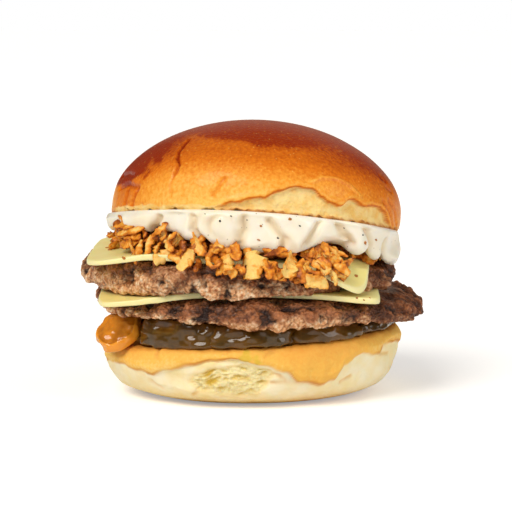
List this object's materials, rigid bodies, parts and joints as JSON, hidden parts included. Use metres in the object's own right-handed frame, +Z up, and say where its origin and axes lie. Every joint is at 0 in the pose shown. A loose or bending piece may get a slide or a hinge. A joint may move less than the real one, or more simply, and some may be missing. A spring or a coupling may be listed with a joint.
{
  "type": "double cheeseburger",
  "caption": "Tall double cheeseburger: brioche bun, stacked patties with sliced cheese, pickles, fried onions and thick cream sauce.",
  "frame": {"origin": "middle of the flat foot of the bottom bun", "axes": "+Z up through the stack, -Y to the front that the picture shows, +X to the right seen from the front"},
  "size_m": [0.1249, 0.1178, 0.0985],
  "materials": {
    "bun_heel": "soft golden brioche with a pale torn band round its foot",
    "bun_crown": "glazed brioche crust, dark brown on top and golden lower down",
    "beef": "seared ground beef, crumbly and a little greasy",
    "cheese": "pale yellow sliced cheese, smooth",
    "pickle": "dark, wet pickle slices",
    "fried_onion": "crisp fried onion, golden to brown",
    "sauce": "thick cream sauce with pepper specks"
  },
  "bodies": {
    "root": {"heel": "bun_heel", "pickle_0": "pickle", "pickle_1": "pickle", "pickle_2": "pickle", "pickle_3": "pickle", "pickle_4": "pickle", "pickle_5": "pickle", "pickle_6": "pickle", "pickle_7": "pickle", "pickle_8": "pickle", "pickle_9": "pickle", "pickle_10": "pickle", "patty_lower": "beef", "cheese_lower": "cheese", "patty_upper": "beef", "cheese_upper": "cheese", "onion_heap": "fried_onion", "sauce": "sauce", "crown": "bun_crown"}
  },
  "joints": []
}
